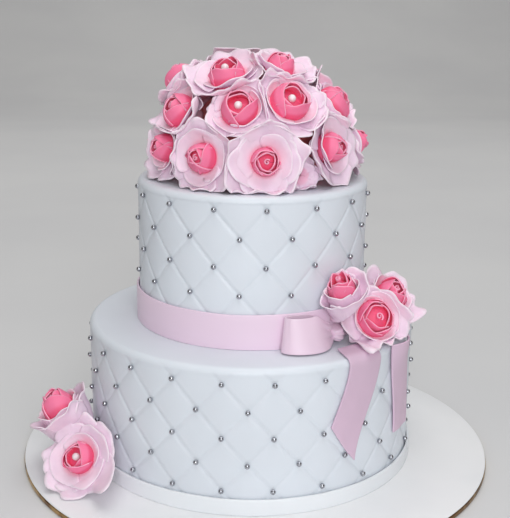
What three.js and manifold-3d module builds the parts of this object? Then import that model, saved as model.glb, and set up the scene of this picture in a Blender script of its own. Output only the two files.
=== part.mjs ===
// A two-tier wedding cake on its round board, in millimetres. Z points up and the front faces -Y.
// The origin is the middle of the board's underside.
// Both tiers are quilted in diamonds with a silver sugar ball at each crossing. Sugar roses make a dome
// on top, three more sit on the ribbon's bow, and two lie on the board.
import * as THREE from "three";
import { mergeVertices } from "three/addons/utils/BufferGeometryUtils.js";
import Module from "manifold-3d";

const wasm = await Module();
wasm.setup();

const GAP = 0.3; // left between pieces that touch
const FINEST = 0.15; // details of a trimmed rose that are smaller than this are left out
const CAKE_X = -5; // the cake stands a little to the left on its board

const BOARD = { radius: 193, core: 3.6, cover: 1.4, bevel: 0.5, segments: 40 };
const BOARD_TOP = BOARD.core + BOARD.cover;

// Quilting: columns counts the diamonds round the tier, turn is the angle of the first one to the right
// of the front, topRow is the height of the highest balls and rowStep is half a diamond's height.
const LOWER = {
  radius: 132, base: BOARD_TOP, height: 112.5, edge: 5,
  columns: 22, turn: 7.6, topRow: 105.4, rowStep: 20.6, rows: 5,
};
const LOWER_TOP = LOWER.base + LOWER.height;
const UPPER = {
  radius: 91.5, base: LOWER_TOP, height: 114.5, edge: 5,
  columns: 15, turn: 6.5, topRow: 222, rowStep: 21.2, rows: 4,
};
const UPPER_TOP = UPPER.base + UPPER.height;
const GROOVE = 1; // how deep the quilting is pressed in at a crossing
const BALL = { radius: 2.1, sunk: 0.5, segments: 5, rings: 2 };

const FOOT_BAND = { height: 13, thickness: 2.6 }; // white, round the lower tier's foot
const RIBBON = { height: 27.5, thickness: 1.8 }; // pink, round the upper tier's foot
const BAND_EDGE = 1 / 3; // share of a band's thickness that is cut off its top edge

// The bow: one loop to the left of its knot and two tails that hang over the lower tier's edge.
// The loop's line seen from above, from the knot round and back: angle, distance out from the ribbon.
const LOOP_LINE = [[36, 0], [28, 0], [19, 0], [15, 4.5], [17, 11], [23, 13.5], [29, 13], [34, 9], [36, 4.5]];
const LOOP = { height: 27, thickness: 1.8, flare: 0.3, steps: 24 };
const KNOT = { angle: 40.3, width: 11.5, depth: 12, height: 14, bevel: 2.5, taper: 0.7 };
const TAIL = { thickness: 1.8, clear: 3 * GAP, flareRun: 30, bentSteps: 20, straightSteps: 12 };
// A tail's middle and half its width are angles at its start, at the tier's edge and at its tip. It lies on
// the tier's top for reach, its end is cut at a slant, and its upper end arches off the side by flare.
const TAILS = {
  tail_slanted: {
    middle: [40, 39.3, 29.3], half: [5.5, 6.8, 6.3], top: LOWER_TOP, reach: 14, end: 51.7, slant: 30.5, flare: 0,
  },
  tail_square: {
    middle: [58.8, 58.8, 62], half: [6.6, 6.6, 5.6], top: LOWER_TOP + 1.5, reach: 0, end: 44.5, slant: 0, flare: 5,
  },
};

// The dome of roses: its core is a ball cut flat, and each rose faces out from the ball's middle.
const DOME = { height: 13, coreRadius: 58, coreSteps: 6, coreSegments: 20, roseDepth: 27.5 };
const ROSE_PETALS = 5;
const HEART_PETALS = 3;
const ROSE_SEGMENTS = 10;
const ROSE_TURN = 2.4; // each rose is turned by this from the one before, in radians
const LOBES = { radius: 0.07, depth: 0.04 }; // how strongly the petals wave the rims
const HEART_LEVEL = 0.85; // share of a rose's depth at which its heart lies
const FACE_LEVEL = 0.7; // and its outer petals
// Rings of a rose from its stalk to its middle: share of the radius, share of the depth, lobes' strength.
// The first two are the pale outer petals and the rest is the darker heart.
const PETAL_RINGS = [[0.35, 0.03, 0], [1.0, 0.68, 1]];
const HEART_RINGS = [[1.2, 0.52, 0], [1.0, 0.94, 1], [0.8, 0.96, 1], [0.45, 0.74, 0.3]];
const BUD_TOP = 0.88;

// Roses on the dome: angle to the right of the front, angle up, radius, heart's radius, extra height.
const DOME_ROSES = [
  [-95, 9, 25, 10, 0], [-62, 10, 24, 10.5, 0], [-29.8, 8, 27, 11, 0], [7, 7.5, 29, 10, 0], [52.5, 12.5, 28, 10.5, 0],
  [92, 10, 25, 10, 5], [125, 9, 26, 10, 0], [158, 9, 25, 11, 0], [194, 9, 26, 10, 0], [229, 9, 25, 10, 0],
  [-61, 32.5, 26, 13, 0], [-9.8, 37, 25, 13, 0], [27, 41, 26, 14, 0], [75.5, 36.5, 26, 13.5, 2.5], [112, 52, 27, 11, 3],
  [151, 37, 26, 12, 0], [192, 39, 26, 11, 0], [233, 37, 26, 12, 0], [-95, 47, 25, 12.5, 8],
  [-32, 61, 31, 13, 3.2], [44, 68.5, 27, 10.5, 4], [200, 67, 29, 12, 4], [30.5, -2, 17, 6, -8],
];
// Roses on the bow and on the board: where the heart is (angle round, radius and height from the lower
// tier's axis and the board's underside), where it faces, radius, heart's radius, depth.
const BOW_ROSES = [
  { angle: 53, out: 120, height: 138, faceTurn: 20, faceUp: 28, radius: 24, heart: 14, depth: 25 },
  { angle: 37.2, out: 107, height: 168.5, faceTurn: -36, faceUp: 60, radius: 18, heart: 10, depth: 44 },
  { angle: 67, out: 121, height: 151, faceTurn: 50, faceUp: 48, radius: 29, heart: 12, depth: 37 },
];
const FOOT_ROSES = [
  { angle: -53.5, out: 163, height: 32.3, faceTurn: -24, faceUp: 36, radius: 32, heart: 11.5, depth: 24 },
  { angle: -69, out: 164.5, height: 61, faceTurn: -88, faceUp: 55, radius: 23, heart: 13, depth: 45 },
];

const material = (color, roughness, metalness = 0) =>
  new THREE.MeshStandardMaterial({ color, roughness, metalness });
const WHITE_ICING = material(0xeef0f4, 0.55);
const WHITE_BOARD = material(0xe9ebec, 0.4);
const GOLD_EDGE = material(0xb08a4a, 0.3, 0.9);
const PINK_RIBBON = material(0xf0c3d9, 0.5);
const PALE_PETAL = material(0xf2cfe0, 0.6);
const DUSKY_PINK = material(0xb9737f, 0.7);

const rad = THREE.MathUtils.degToRad;
const lerp = THREE.MathUtils.lerp;
const smooth = (t) => THREE.MathUtils.smoothstep(t, 0, 1);

// The point at an angle to the right of the front, a distance from the axis and a height.
function around(angle, radius, z) {
  return new THREE.Vector3(radius * Math.sin(rad(angle)), -radius * Math.cos(rad(angle)), z);
}

// A direction from its angle to the right of the front and its angle up.
function facing(turn, up) {
  return around(turn, Math.cos(rad(up)), Math.sin(rad(up)));
}

// A geometry as a solid that can be joined or cut.
function solidOf(geometry) {
  const bare = geometry.clone();
  bare.deleteAttribute("normal");
  bare.deleteAttribute("uv");
  const merged = mergeVertices(bare, 1e-4);
  return new wasm.Manifold(
    new wasm.Mesh({
      numProp: 3,
      vertProperties: merged.attributes.position.array,
      triVerts: new Uint32Array(merged.index.array),
    }),
  );
}

// A solid as a geometry again.
function geometryOf(solid) {
  const { vertProperties, triVerts } = solid.getMesh();
  const geometry = new THREE.BufferGeometry();
  geometry.setAttribute("position", new THREE.BufferAttribute(vertProperties, 3));
  geometry.setIndex(new THREE.BufferAttribute(triVerts, 1));
  geometry.computeVertexNormals();
  return geometry;
}

// A geometry from rings of points, one inside the next, closed by a point at each end.
// flip(ring, i) says which way the four-sided cell beside point i is split.
function ringed(first, rings, last, flip = () => false) {
  const count = rings[0].length;
  const points = [first, ...rings.flat(), last];
  const at = (ring, i) => 1 + ring * count + (i % count);
  const faces = [];
  for (let i = 0; i < count; i++) {
    faces.push(0, at(0, i + 1), at(0, i));
    faces.push(points.length - 1, at(rings.length - 1, i), at(rings.length - 1, i + 1));
    for (let ring = 0; ring + 1 < rings.length; ring++) {
      const [a, b] = [at(ring, i), at(ring, i + 1)];
      const [c, d] = [at(ring + 1, i), at(ring + 1, i + 1)];
      faces.push(...(flip(ring, i) ? [a, b, c, b, d, c] : [a, b, d, a, d, c]));
    }
  }
  const geometry = new THREE.BufferGeometry().setFromPoints(points);
  geometry.setIndex(faces);
  geometry.computeVertexNormals();
  return geometry;
}

// A point of a geometry moved by place(point), which returns where it goes.
function reshape(geometry, place) {
  const position = geometry.getAttribute("position");
  const point = new THREE.Vector3();
  for (let i = 0; i < position.count; i++) {
    point.fromBufferAttribute(position, i);
    position.setXYZ(i, ...place(point).toArray());
  }
  geometry.computeVertexNormals();
  return geometry;
}

function board() {
  const { radius, core, bevel, segments } = BOARD;
  const profile = (bottom, top) => [
    [0, bottom], [radius - bevel, bottom], [radius, bottom + bevel],
    [radius, top - bevel], [radius - bevel, top], [0, top],
  ].map(([r, z]) => new THREE.Vector2(r, z));
  const disc = (bottom, top) =>
    new THREE.LatheGeometry(profile(bottom, top), segments).rotateX(Math.PI / 2);
  return [
    ["board_core", disc(0, core), GOLD_EDGE],
    ["board_cover", disc(core, BOARD_TOP), WHITE_BOARD],
  ];
}

// Where a tier's silver balls sit: every second half-column of each row.
function crossings(tier) {
  const found = [];
  for (let row = 0; row < tier.rows; row++)
    for (let half = row % 2; half < 2 * tier.columns; half += 2)
      found.push({ angle: tier.turn + (half * 180) / tier.columns, z: tier.topRow - row * tier.rowStep });
  return found;
}

// A tier with its diamonds pressed in: crossings lie deeper than the middles between them.
function quilted(tier) {
  const { radius, base, height, edge, columns, turn, topRow, rowStep, rows } = tier;
  const top = base + height;
  const round = Math.SQRT1_2 * edge;
  const ring = (z, depth) =>
    Array.from({ length: 2 * columns }, (_, half) =>
      around(turn + (half * 180) / columns, radius - depth(half), z));
  const rings = [ring(base, () => 0)];
  for (let row = rows - 1; row >= 0; row--)
    rings.push(ring(topRow - row * rowStep, (half) => ((half + row) % 2 ? 0 : GROOVE)));
  rings.push(
    ring(top - edge, () => 0),
    ring(top - edge + round, () => edge - round),
    ring(top, () => edge),
  );
  const along = (level, half) => (half + rows - level) % 2 === 1;
  const body = ringed(new THREE.Vector3(0, 0, base), rings, new THREE.Vector3(0, 0, top), along);
  return solidOf(body);
}

// Whether a tail of the bow hides the place of a ball.
function underTail({ angle, z }) {
  return Object.values(TAILS).some((tail) => {
    const { middle, half } = tailAt(tail, z);
    return Math.abs(angle - middle) < half && z > tail.end - 2 * BALL.radius;
  });
}

function tierWithBalls(tier, hidden) {
  const ball = new THREE.SphereGeometry(BALL.radius, BALL.segments, BALL.rings);
  return crossings(tier)
    .filter((place) => !hidden(place))
    .reduce((body, { angle, z }) => {
      const outward = rad(angle);
      const centre = around(angle, tier.radius - GROOVE + BALL.radius - BALL.sunk, z);
      const placed = ball.clone().rotateZ(outward).translate(...centre.toArray());
      return body.add(solidOf(placed));
    }, quilted(tier));
}

// A flat band round a tier's foot.
function band(tier, { height, thickness }) {
  const inner = tier.radius + GAP;
  const outer = inner + thickness;
  const cut = BAND_EDGE * thickness;
  const profile = [
    [inner, 0], [outer, 0], [outer, height - cut], [outer - cut, height], [inner, height], [inner, 0],
  ].map(([r, z]) => new THREE.Vector2(r, tier.base + z));
  return new THREE.LatheGeometry(profile, 2 * tier.columns, rad(tier.turn)).rotateX(Math.PI / 2);
}

// A strip of icing bent so that place(across, along) gives its middle surface, both shares from 0 to 1.
function strip(thickness, acrossSteps, alongSteps, place) {
  const nudge = 1e-3;
  return reshape(new THREE.BoxGeometry(1, 1, thickness, acrossSteps, alongSteps, 1), (p) => {
    const [u, v] = [p.x + 0.5, p.y + 0.5];
    const across = place(u + nudge, v).sub(place(u - nudge, v));
    const along = place(u, v + nudge).sub(place(u, v - nudge));
    const normal = across.cross(along).normalize();
    return place(u, v).addScaledVector(normal, p.z);
  });
}

// The loop runs left along the ribbon from the knot, turns, and comes back bulging outwards.
function bowLoop() {
  const skin = UPPER.radius + 2 * GAP + RIBBON.thickness + LOOP.thickness / 2;
  const line = new THREE.CatmullRomCurve3(LOOP_LINE.map(([angle, out]) => new THREE.Vector3(angle, out, 0)));
  const place = (u, v) => {
    const { x: angle, y: out } = line.getPoint(THREE.MathUtils.clamp(v, 0, 1));
    return around(angle, skin + out * (1 + LOOP.flare * (1 - u)), UPPER.base + GAP + u * LOOP.height);
  };
  return strip(LOOP.thickness, 1, LOOP.steps, place);
}

function bowKnot() {
  const { width, depth, height, bevel, angle, taper } = KNOT;
  const half = new THREE.Vector2(width / 2 - bevel, height / 2 - bevel);
  const outline = new THREE.Shape()
    .moveTo(-half.x, -half.y).lineTo(half.x, -half.y * taper)
    .lineTo(half.x, half.y * taper).lineTo(-half.x, half.y);
  const block = new THREE.ExtrudeGeometry(outline, {
    depth: depth - 2 * bevel, bevelThickness: bevel, bevelSize: bevel, bevelSegments: 2, steps: 1,
  });
  const back = UPPER.radius + 2 * GAP + RIBBON.thickness + bevel;
  return block
    .rotateX(Math.PI / 2)
    .translate(0, -back, UPPER.base + height / 2 + 3 * GAP)
    .rotateZ(rad(angle));
}

// A tail's middle and half its width at a height, lying being the share of its way over the tier's top.
function tailAt({ middle, half, end, slant }, z, lying = 1) {
  const hanging = smooth((LOWER_TOP - z) / (LOWER_TOP - end + slant / 2));
  return {
    middle: lerp(middle[0], lerp(middle[1], middle[2], hanging), lying),
    half: lerp(half[0], lerp(half[1], half[2], hanging), lying),
  };
}

// How far out and how high a tail is, run along it from its start and at a share of its width.
function tailLine({ reach, top, flare }, run, share) {
  const clear = TAIL.clear + TAIL.thickness / 2;
  const side = LOWER.radius + clear;
  if (reach === 0) {
    const arch = flare * Math.sin(Math.PI * share);
    return [side + arch * smooth(1 - run / TAIL.flareRun), top - run];
  }
  const bend = LOWER.edge + clear;
  const turn = THREE.MathUtils.clamp((run - reach) / bend, 0, Math.PI / 2);
  const lying = Math.max(0, reach - run);
  const down = Math.max(0, run - reach - (bend * Math.PI) / 2);
  return [side - bend * (1 - Math.sin(turn)) - lying, top - LOWER.edge + bend * Math.cos(turn) - down];
}

// A tail hangs down the lower tier's side, and the slanted one first bends over the tier's edge.
function bowTail(tail) {
  const { reach, top, end, slant } = tail;
  const overEdge = reach > 0 ? reach + ((LOWER.edge + TAIL.clear) * Math.PI) / 2 - LOWER.edge : 0;
  const place = (u, v) => {
    const run = v * (overEdge + top - end + slant * (u - 0.5));
    const [out, z] = tailLine(tail, run, u);
    const { middle, half } = tailAt(tail, z, reach > 0 ? Math.min(1, run / reach) : 1);
    return around(middle + (2 * u - 1) * half, out, z);
  };
  return strip(TAIL.thickness, 2, reach > 0 ? TAIL.bentSteps : TAIL.straightSteps, place);
}

// The core of the rose dome: a ball cut flat where it stands on the upper tier.
function domeCore() {
  const { height, coreRadius, coreSteps: steps, coreSegments } = DOME;
  const start = -Math.asin(height / coreRadius);
  const profile = [new THREE.Vector2(0, UPPER_TOP)];
  for (let i = 0; i < steps; i++) {
    const up = lerp(start, Math.PI / 2, i / steps);
    profile.push(new THREE.Vector2(coreRadius * Math.cos(up), UPPER_TOP + height + coreRadius * Math.sin(up)));
  }
  profile.push(new THREE.Vector2(0, UPPER_TOP + height + coreRadius));
  return new THREE.LatheGeometry(profile, coreSegments).rotateX(Math.PI / 2);
}

// A rose's place: its face's middle, the way it faces, and its sizes.
function domeRose([turn, up, radius, heart, lift]) {
  const out = facing(turn, up);
  const stalk = new THREE.Vector3(0, 0, UPPER_TOP + DOME.height);
  stalk.addScaledVector(out, DOME.coreRadius + 2 * GAP);
  return { stalk, out, radius, heart, depth: DOME.roseDepth + lift };
}

function looseRose({ angle, out: distance, height, faceTurn, faceUp, radius, heart, depth }) {
  const out = facing(faceTurn, faceUp);
  const stalk = around(angle, distance, height).addScaledVector(out, -HEART_LEVEL * depth);
  return { stalk, out, radius, heart, depth };
}

// The flat side that keeps rose a clear of rose b: they share the space by their sizes.
function sideBetween(a, b) {
  const face = ({ stalk, out, depth }) => stalk.clone().addScaledVector(out, FACE_LEVEL * depth);
  const [from, to] = [face(a), face(b)];
  const normal = from.clone().sub(to).normalize();
  const border = from.lerp(to, a.radius / (a.radius + b.radius));
  return new THREE.Plane().setFromNormalAndCoplanarPoint(normal, border.addScaledVector(normal, GAP / 2));
}

// The flat side that keeps a rose clear of a round tier.
function sideOfTier(tier, rose, clearance) {
  const away = new THREE.Vector3(rose.stalk.x, rose.stalk.y, 0).normalize();
  return new THREE.Plane(away, -(tier.radius + clearance));
}

const above = (z) => new THREE.Plane(new THREE.Vector3(0, 0, 1), -(z + GAP));

// A sugar rose with its stalk at the origin and its face towards +Z: outer petals round a raised heart.
// It ends at the flat sides that keep it clear of what it lies against.
function roseMesh(name, rose, sides, number) {
  const ring = (size, petals) => ([share, level, lobes]) =>
    Array.from({ length: ROSE_SEGMENTS }, (_, i) => {
      const angle = (i / ROSE_SEGMENTS) * 2 * Math.PI;
      const wave = lobes * Math.cos(petals * angle + number * ROSE_TURN);
      const radius = size * share * (1 + LOBES.radius * wave);
      const z = rose.depth * (level - LOBES.depth * wave);
      return new THREE.Vector3(radius * Math.cos(angle), radius * Math.sin(angle), z);
    });
  const rings = [
    ...PETAL_RINGS.map(ring(rose.radius, ROSE_PETALS)),
    ...HEART_RINGS.map(ring(rose.heart, HEART_PETALS)),
  ];
  const mesh = new THREE.Mesh(new THREE.BufferGeometry(), PALE_PETAL);
  mesh.name = name;
  mesh.position.copy(rose.stalk);
  mesh.quaternion.setFromUnitVectors(new THREE.Vector3(0, 0, 1), rose.out);
  mesh.updateMatrix();
  const inverse = mesh.matrix.clone().invert();
  const whole = solidOf(ringed(new THREE.Vector3(), rings, new THREE.Vector3(0, 0, BUD_TOP * rose.depth)));
  const trimmed = sides.reduce((body, side) => {
    const { normal, constant } = side.clone().applyMatrix4(inverse);
    return body.trimByPlane(normal.toArray(), -constant);
  }, whole);
  mesh.geometry = geometryOf(trimmed.simplify(FINEST));
  return mesh;
}

// Roses that share a place, each kept clear of the others and of the sides that sidesOf gives it.
function roseCluster(prefix, roses, sidesOf) {
  return roses.map((rose, i) => {
    const others = roses.filter((other) => other !== rose).map((other) => sideBetween(rose, other));
    const name = `${prefix}_${String(i + 1).padStart(2, "0")}`;
    return roseMesh(name, rose, [...others, ...sidesOf(rose)], i);
  });
}

function named(name, geometry, surface) {
  const mesh = new THREE.Mesh(geometry, surface);
  mesh.name = name;
  return mesh;
}

const cake = new THREE.Group();
cake.position.x = CAKE_X;
const never = () => false;
cake.add(
  named("lower_tier", geometryOf(tierWithBalls(LOWER, underTail)), WHITE_ICING),
  named("foot_band", band(LOWER, FOOT_BAND), WHITE_ICING),
  named("upper_tier", geometryOf(tierWithBalls(UPPER, never)), WHITE_ICING),
  named("ribbon_band", band(UPPER, RIBBON), PINK_RIBBON),
  named("bow_loop", bowLoop(), PINK_RIBBON),
  named("bow_knot", bowKnot(), PINK_RIBBON),
  ...Object.entries(TAILS).map(([name, tail]) => named(name, bowTail(tail), PINK_RIBBON)),
  named("dome_core", domeCore(), DUSKY_PINK),
  ...roseCluster("dome_rose", DOME_ROSES.map(domeRose), () => [above(UPPER_TOP)]),
  ...roseCluster("bow_rose", BOW_ROSES.map(looseRose), (rose) => [
    sideOfTier(UPPER, rose, BALL.radius * 2 + RIBBON.thickness),
    above(LOWER_TOP + TAIL.thickness + TAIL.clear),
  ]),
  ...roseCluster("foot_rose", FOOT_ROSES.map(looseRose), (rose) => [
    sideOfTier(LOWER, rose, BALL.radius * 2 + FOOT_BAND.thickness),
    above(BOARD_TOP),
  ]),
);

const part = new THREE.Group();
part.add(...board().map(([name, geometry, surface]) => named(name, geometry, surface)), cake);

export default part;
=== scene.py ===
"""Dresses a two-tier wedding cake on its board: quilted icing, silver sugar balls, ribbon bow and sugar roses."""

import math

import bpy
import numpy as np
from mathutils import Matrix, Vector


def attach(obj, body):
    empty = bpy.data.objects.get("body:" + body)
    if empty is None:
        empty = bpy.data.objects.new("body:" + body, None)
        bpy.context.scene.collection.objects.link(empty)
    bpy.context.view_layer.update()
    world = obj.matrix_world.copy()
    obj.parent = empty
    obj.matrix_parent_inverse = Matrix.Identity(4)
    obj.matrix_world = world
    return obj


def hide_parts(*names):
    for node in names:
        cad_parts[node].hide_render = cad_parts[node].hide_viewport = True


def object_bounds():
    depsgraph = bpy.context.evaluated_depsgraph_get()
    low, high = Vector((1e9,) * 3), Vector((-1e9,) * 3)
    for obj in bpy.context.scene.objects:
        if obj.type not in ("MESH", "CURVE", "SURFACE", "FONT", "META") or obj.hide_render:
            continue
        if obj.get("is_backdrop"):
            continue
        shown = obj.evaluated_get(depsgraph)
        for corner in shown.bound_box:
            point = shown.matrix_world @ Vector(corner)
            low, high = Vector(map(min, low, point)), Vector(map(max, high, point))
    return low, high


bl_info = {
    "name": "Two-tier rose cake",
    "version": (1, 0, 0),
    "blender": (4, 5, 0),
    "location": "View3D > Sidebar > Cake",
    "description": "Models the icing, ribbon and sugar roses of a two-tier cake",
    "category": "Object",
}

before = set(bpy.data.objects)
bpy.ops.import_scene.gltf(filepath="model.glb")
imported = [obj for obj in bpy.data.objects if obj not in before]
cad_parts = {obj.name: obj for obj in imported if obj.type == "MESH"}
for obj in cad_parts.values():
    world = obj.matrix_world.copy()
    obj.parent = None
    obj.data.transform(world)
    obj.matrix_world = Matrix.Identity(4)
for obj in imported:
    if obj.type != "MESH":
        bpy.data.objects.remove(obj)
SOLID_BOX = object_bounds()

# Sizes are in millimetres, as in the solid model, and become metres when a mesh is made
MM = 0.001
GAP = 0.3  # left between pieces that touch
CAKE_X = -5  # the cake stands a little to the left on its board
BOARD_RADIUS, BOARD_CORE, BOARD_TOP = 193, 3.6, 5
LOWER = dict(name="lower_tier", radius=132, base=5, top=117.5, edge=5, columns=22, turn=7.6,
             top_row=105.4, row_step=20.6, rows=5, fineness=14)
UPPER = dict(name="upper_tier", radius=91.5, base=117.5, top=232, edge=5, columns=15, turn=6.5,
             top_row=222, row_step=21.2, rows=4, fineness=18)
GROOVE = 1  # the quilting's depth where a ball sits
PILLOW_DEPTH, FALLING_CREASE, RISING_CREASE, CREASE_WIDTH = 0.5, 0.85, 0.6, 0.9
QUILT_FADE = 9  # height under a tier's top over which the quilting fades out
BALL_RADIUS, BALL_SUNK = 2.1, 0.5
FOOT_BAND = dict(height=13, thickness=2.6)
RIBBON = dict(height=27.5, thickness=1.8)
# The loop's line seen from above: angle and distance out from the ribbon
LOOP_LINE = ((36, 0), (28, 0), (19, 0), (14.8, 4.5), (16.3, 9.8), (20.8, 12.8), (26.8, 13.4), (32, 10.5),
             (36, 4.5))
KNOT = dict(angle=40.3, width=11.5, depth=12, height=14)
TAILS = dict(
    tail_slanted=dict(middle=(40, 39.3, 29.3), half=(5.5, 6.8, 6.3), top=117.5, reach=14,
                      end=51.7, slant=30.5, flare=0),
    tail_square=dict(middle=(58.8, 58.8, 62), half=(6.6, 6.6, 5.6), top=119, reach=0,
                     end=44.5, slant=0, flare=5),
)
TAIL_CLEAR, TAIL_THICK, FLARE_RUN = 0.9, 1.8, 30  # a tail arches off the tier over its flare run
STRIP_THICK, STRIP_BEVEL = 1.4, 0.35  # the bow's strips are a little thinner than the solid ones
LOOP_TOP = 26.4
# Painted shade: the bow's pink is darkened against the ribbon's, standing in for the shade on the loop and knot
BOW_PAINTED_SHADE = (0.94, 0.92, 0.92)  # the bow's pink against the ribbon's
# Painted shade: the tails' pink is darkened further, standing in for the shade where they hang down the tier's side
TAIL_PAINTED_SHADE = (0.79, 0.735, 0.775)  # and the tails'
DOME_MIDDLE, DOME_CORE, DOME_DEPTH = 245, 58, 27.5
DOME_TOP = 330.8  # no petal reaches higher
HEART_LEVEL, FACE_LEVEL = 0.85, 0.7  # shares of a rose's depth
HEART_SWELL, HEART_RISE = 1.16, 1.05  # hearts against the solid ones
OUTER_PETALS = 5
RIM_REACH, RIM_CURL = 0.022, 0.34  # how far the fine crimp of a petal's rim goes out and up

# Petals where they meet a neighbour, a tier or the board
PRESS = 3.5  # how close to a limit petals start to be pressed flat
LAID_OVER, TUCKED_UNDER, BOW_OVER = 3.4, 1.2, 3  # how far petals pass the border of a lower or higher rose
RISE_OVER, SINK_UNDER, BOW_SINK = 1.2, -3.0, -7.0  # how much they rise or sink there
SHIFT_START, SHIFT_RUN = 5, 7  # and how near to the border that starts
LIFT_LIMIT = 8  # how deep a petal is pressed, at most, for it to rise along with that
FLOOR_WAVE, WAVE_RUN = 1.7, 6  # rims that lie on a tier or the board curl up in waves
WAVE_PACE = (0.34, 0.27, 0)  # radians per millimetre

# The stage, in metres and degrees
SWEEP_START, SWEEP_RADIUS = 2.5, 2.5  # where the floor starts to bend up behind the cake
CAMERA_PLACE = (-0.005, -0.777, 0.3692)
CAMERA_DOWN, CAMERA_TURN, CAMERA_ROLL = 14.889, -0.2, 0.755
LENS_LENGTH, SENSOR_HEIGHT = 68.4, 36  # in millimetres

# Roses on the dome: angle to the right of the front, angle up, radius, heart's radius, extra depth
DOME_ROSES = (
    (-95, 9, 25, 10, 0), (-62, 10, 24, 10.5, 0), (-29.8, 8, 27, 11, 0), (7, 7.5, 29, 10, 0),
    (52.5, 12.5, 28, 10.5, 0), (92, 10, 25, 10, 5), (125, 9, 26, 10, 0), (158, 9, 25, 11, 0),
    (194, 9, 26, 10, 0), (229, 9, 25, 10, 0), (-61, 32.5, 26, 13, 0), (-9.8, 37, 25, 13, 0),
    (27, 41, 26, 14, 0), (75.5, 36.5, 26, 13.5, 2.5), (112, 52, 27, 11, 3), (151, 37, 26, 12, 0),
    (192, 39, 26, 11, 0), (233, 37, 26, 12, 0), (-95, 47, 25, 12.5, 8), (-32, 61, 31, 13, 3.2),
    (44, 68.5, 27, 10.5, 4), (200, 67, 29, 12, 4), (30.5, -2, 17, 6, -8),
)
# Loose roses: heart's place (angle, distance out, height), where it faces, radius, heart's radius, depth
BOW_ROSES = (
    (53, 120, 138, 20, 28, 24, 14, 25),
    (37.2, 107, 168.5, -36, 60, 18, 10, 44),
    (67, 121, 151, 50, 48, 29, 12, 37),
)
FOOT_ROSES = (
    (-53.5, 163, 32.3, -24, 36, 32, 11.5, 24),
    (-69, 164.5, 61, -88, 55, 23, 13, 45),
)
OPEN_HEARTS = ("dome_rose_12", "dome_rose_13", "dome_rose_20", "foot_rose_01")  # round a pearl
ROLLED_HEARTS = ("dome_rose_04", "dome_rose_09", "bow_rose_01", "bow_rose_02")
FULL_ROSES = ("dome_rose_04", "dome_rose_08", "dome_rose_17", "foot_rose_01")  # with one more layer
NO_HEART = ("dome_rose_23",)
CUPS = ("bow_rose_02", "foot_rose_02", "dome_rose_15")  # petals that stand up round the heart
# Outer petals that reach farther or less far
SPREAD = dict(bow_rose_01=1.12, bow_rose_03=0.95, foot_rose_01=0.89, dome_rose_11=1.15, dome_rose_12=0.95,
              dome_rose_13=1.12, dome_rose_14=0.93)
# One petal's direction and how much longer its tip is
TIPS = dict(bow_rose_01=(-93, 0.3), bow_rose_03=(-8, 0.13), foot_rose_01=(-50, 0.34))
SUNK_HEARTS = dict(dome_rose_01=0.8, dome_rose_15=0.74, dome_rose_20=0.95, dome_rose_21=0.95, dome_rose_22=0.76)


def srgb(red, green, blue):
    """A colour seen on screen, from 0 to 255, as a linear one."""
    shares = [v / 255 for v in (red, green, blue)]
    return tuple(v / 12.92 if v <= 0.04045 else ((v + 0.055) / 1.055) ** 2.4 for v in shares)


def shaded(colour, shade, share=1.0):
    """A colour whose red, green and blue are each darkened by a share of their own."""
    return tuple(share * a * b for a, b in zip(colour, shade))


# Shapes

def around(angle, radius, z):
    """The point at an angle to the right of the front, a distance from the cake's axis and a height."""
    turned = np.radians(angle)
    return np.stack(np.broadcast_arrays(radius * np.sin(turned), -radius * np.cos(turned), z), -1)


def facing(turn, up):
    return around(turn, math.cos(math.radians(up)), math.sin(math.radians(up)))


def smooth(share):
    share = np.clip(share, 0, 1)
    return share * share * (3 - 2 * share)


def spread_over(start, across, along):
    """Places over a sheet: u from start to 1 across it and v from 0 to 1 along it."""
    return np.meshgrid(np.linspace(start, 1, across), np.linspace(0, 1, along), indexing="ij")


def bezier(line, share):
    a, b, c, d = (np.array(point, float) for point in line)
    t = share[..., None]
    return (1 - t) ** 3 * a + 3 * (1 - t) ** 2 * t * b + 3 * (1 - t) * t * t * c + t ** 3 * d


def waves(where, seed):
    """A soft uneven swell between about -1 and 1 along an array of places."""
    draw = np.random.default_rng(seed)
    total = sum(np.sin(where * draw.uniform(0.6, 1.4) * k + draw.uniform(0, 2 * math.pi)) / k for k in (1, 2, 3))
    return total / 1.5


# Objects

def settle(name):
    """Names the active object and moves its place into its mesh."""
    piece = bpy.context.object
    piece.name = piece.data.name = name
    bpy.ops.object.transform_apply(location=True, rotation=True, scale=True)
    return piece


def deselect():
    if bpy.context.object and bpy.context.object.mode != "OBJECT":
        bpy.ops.object.mode_set(mode="OBJECT")
    bpy.ops.object.select_all(action="DESELECT")


def activate(piece):
    deselect()
    piece.select_set(True)
    bpy.context.view_layer.objects.active = piece


def modify(piece, kind, **settings):
    """Adds a modifier, sets it and applies it."""
    activate(piece)
    modifier = piece.modifiers.new(kind.title(), kind)
    for key, value in settings.items():
        setattr(modifier, key, value)
    bpy.ops.object.modifier_apply(modifier=modifier.name)


def edit_whole(operator, **settings):
    """Runs a mesh operator on the whole of the active object."""
    bpy.ops.object.mode_set(mode="EDIT")
    bpy.ops.mesh.select_all(action="SELECT")
    operator(**settings)
    bpy.ops.object.mode_set(mode="OBJECT")


def soften(piece, angle=None):
    activate(piece)
    if angle is None:
        bpy.ops.object.shade_smooth()
    else:
        bpy.ops.object.shade_smooth_by_angle(angle=math.radians(angle))


def dress(piece, material, nodes):
    """Gives a finished piece its material, hangs it under the root and hides the solid parts it stands for."""
    piece.data.materials.clear()
    piece.data.materials.append(material)
    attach(piece, "root")
    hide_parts(*nodes)


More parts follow.
